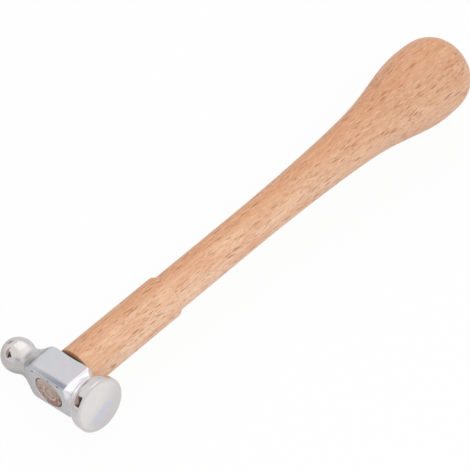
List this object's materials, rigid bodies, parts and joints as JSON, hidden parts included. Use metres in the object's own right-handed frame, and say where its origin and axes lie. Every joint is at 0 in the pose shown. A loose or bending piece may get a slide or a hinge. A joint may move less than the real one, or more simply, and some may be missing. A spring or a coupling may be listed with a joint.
{
  "type": "chasing hammer",
  "caption": "Chasing hammer with a polished steel head, broad domed face and ball peen, on a turned wooden handle with a stepped shaft and bulb end.",
  "frame": {"origin": "middle of the flat upper cheek of the head's eye block, above the crossing of the head's and the handle's axes", "axes": "+X along the head towards the striking face, +Y along the handle towards the bulb, +Z out of the upper cheek"},
  "size_m": [0.06, 0.2687, 0.0377],
  "materials": {
    "polished_steel": "polished",
    "beech": "oiled",
    "wedge_steel": "bare"
  },
  "bodies": {
    "root": {"head": "polished_steel", "handle": "beech", "ring_wedge": "wedge_steel"}
  },
  "joints": []
}
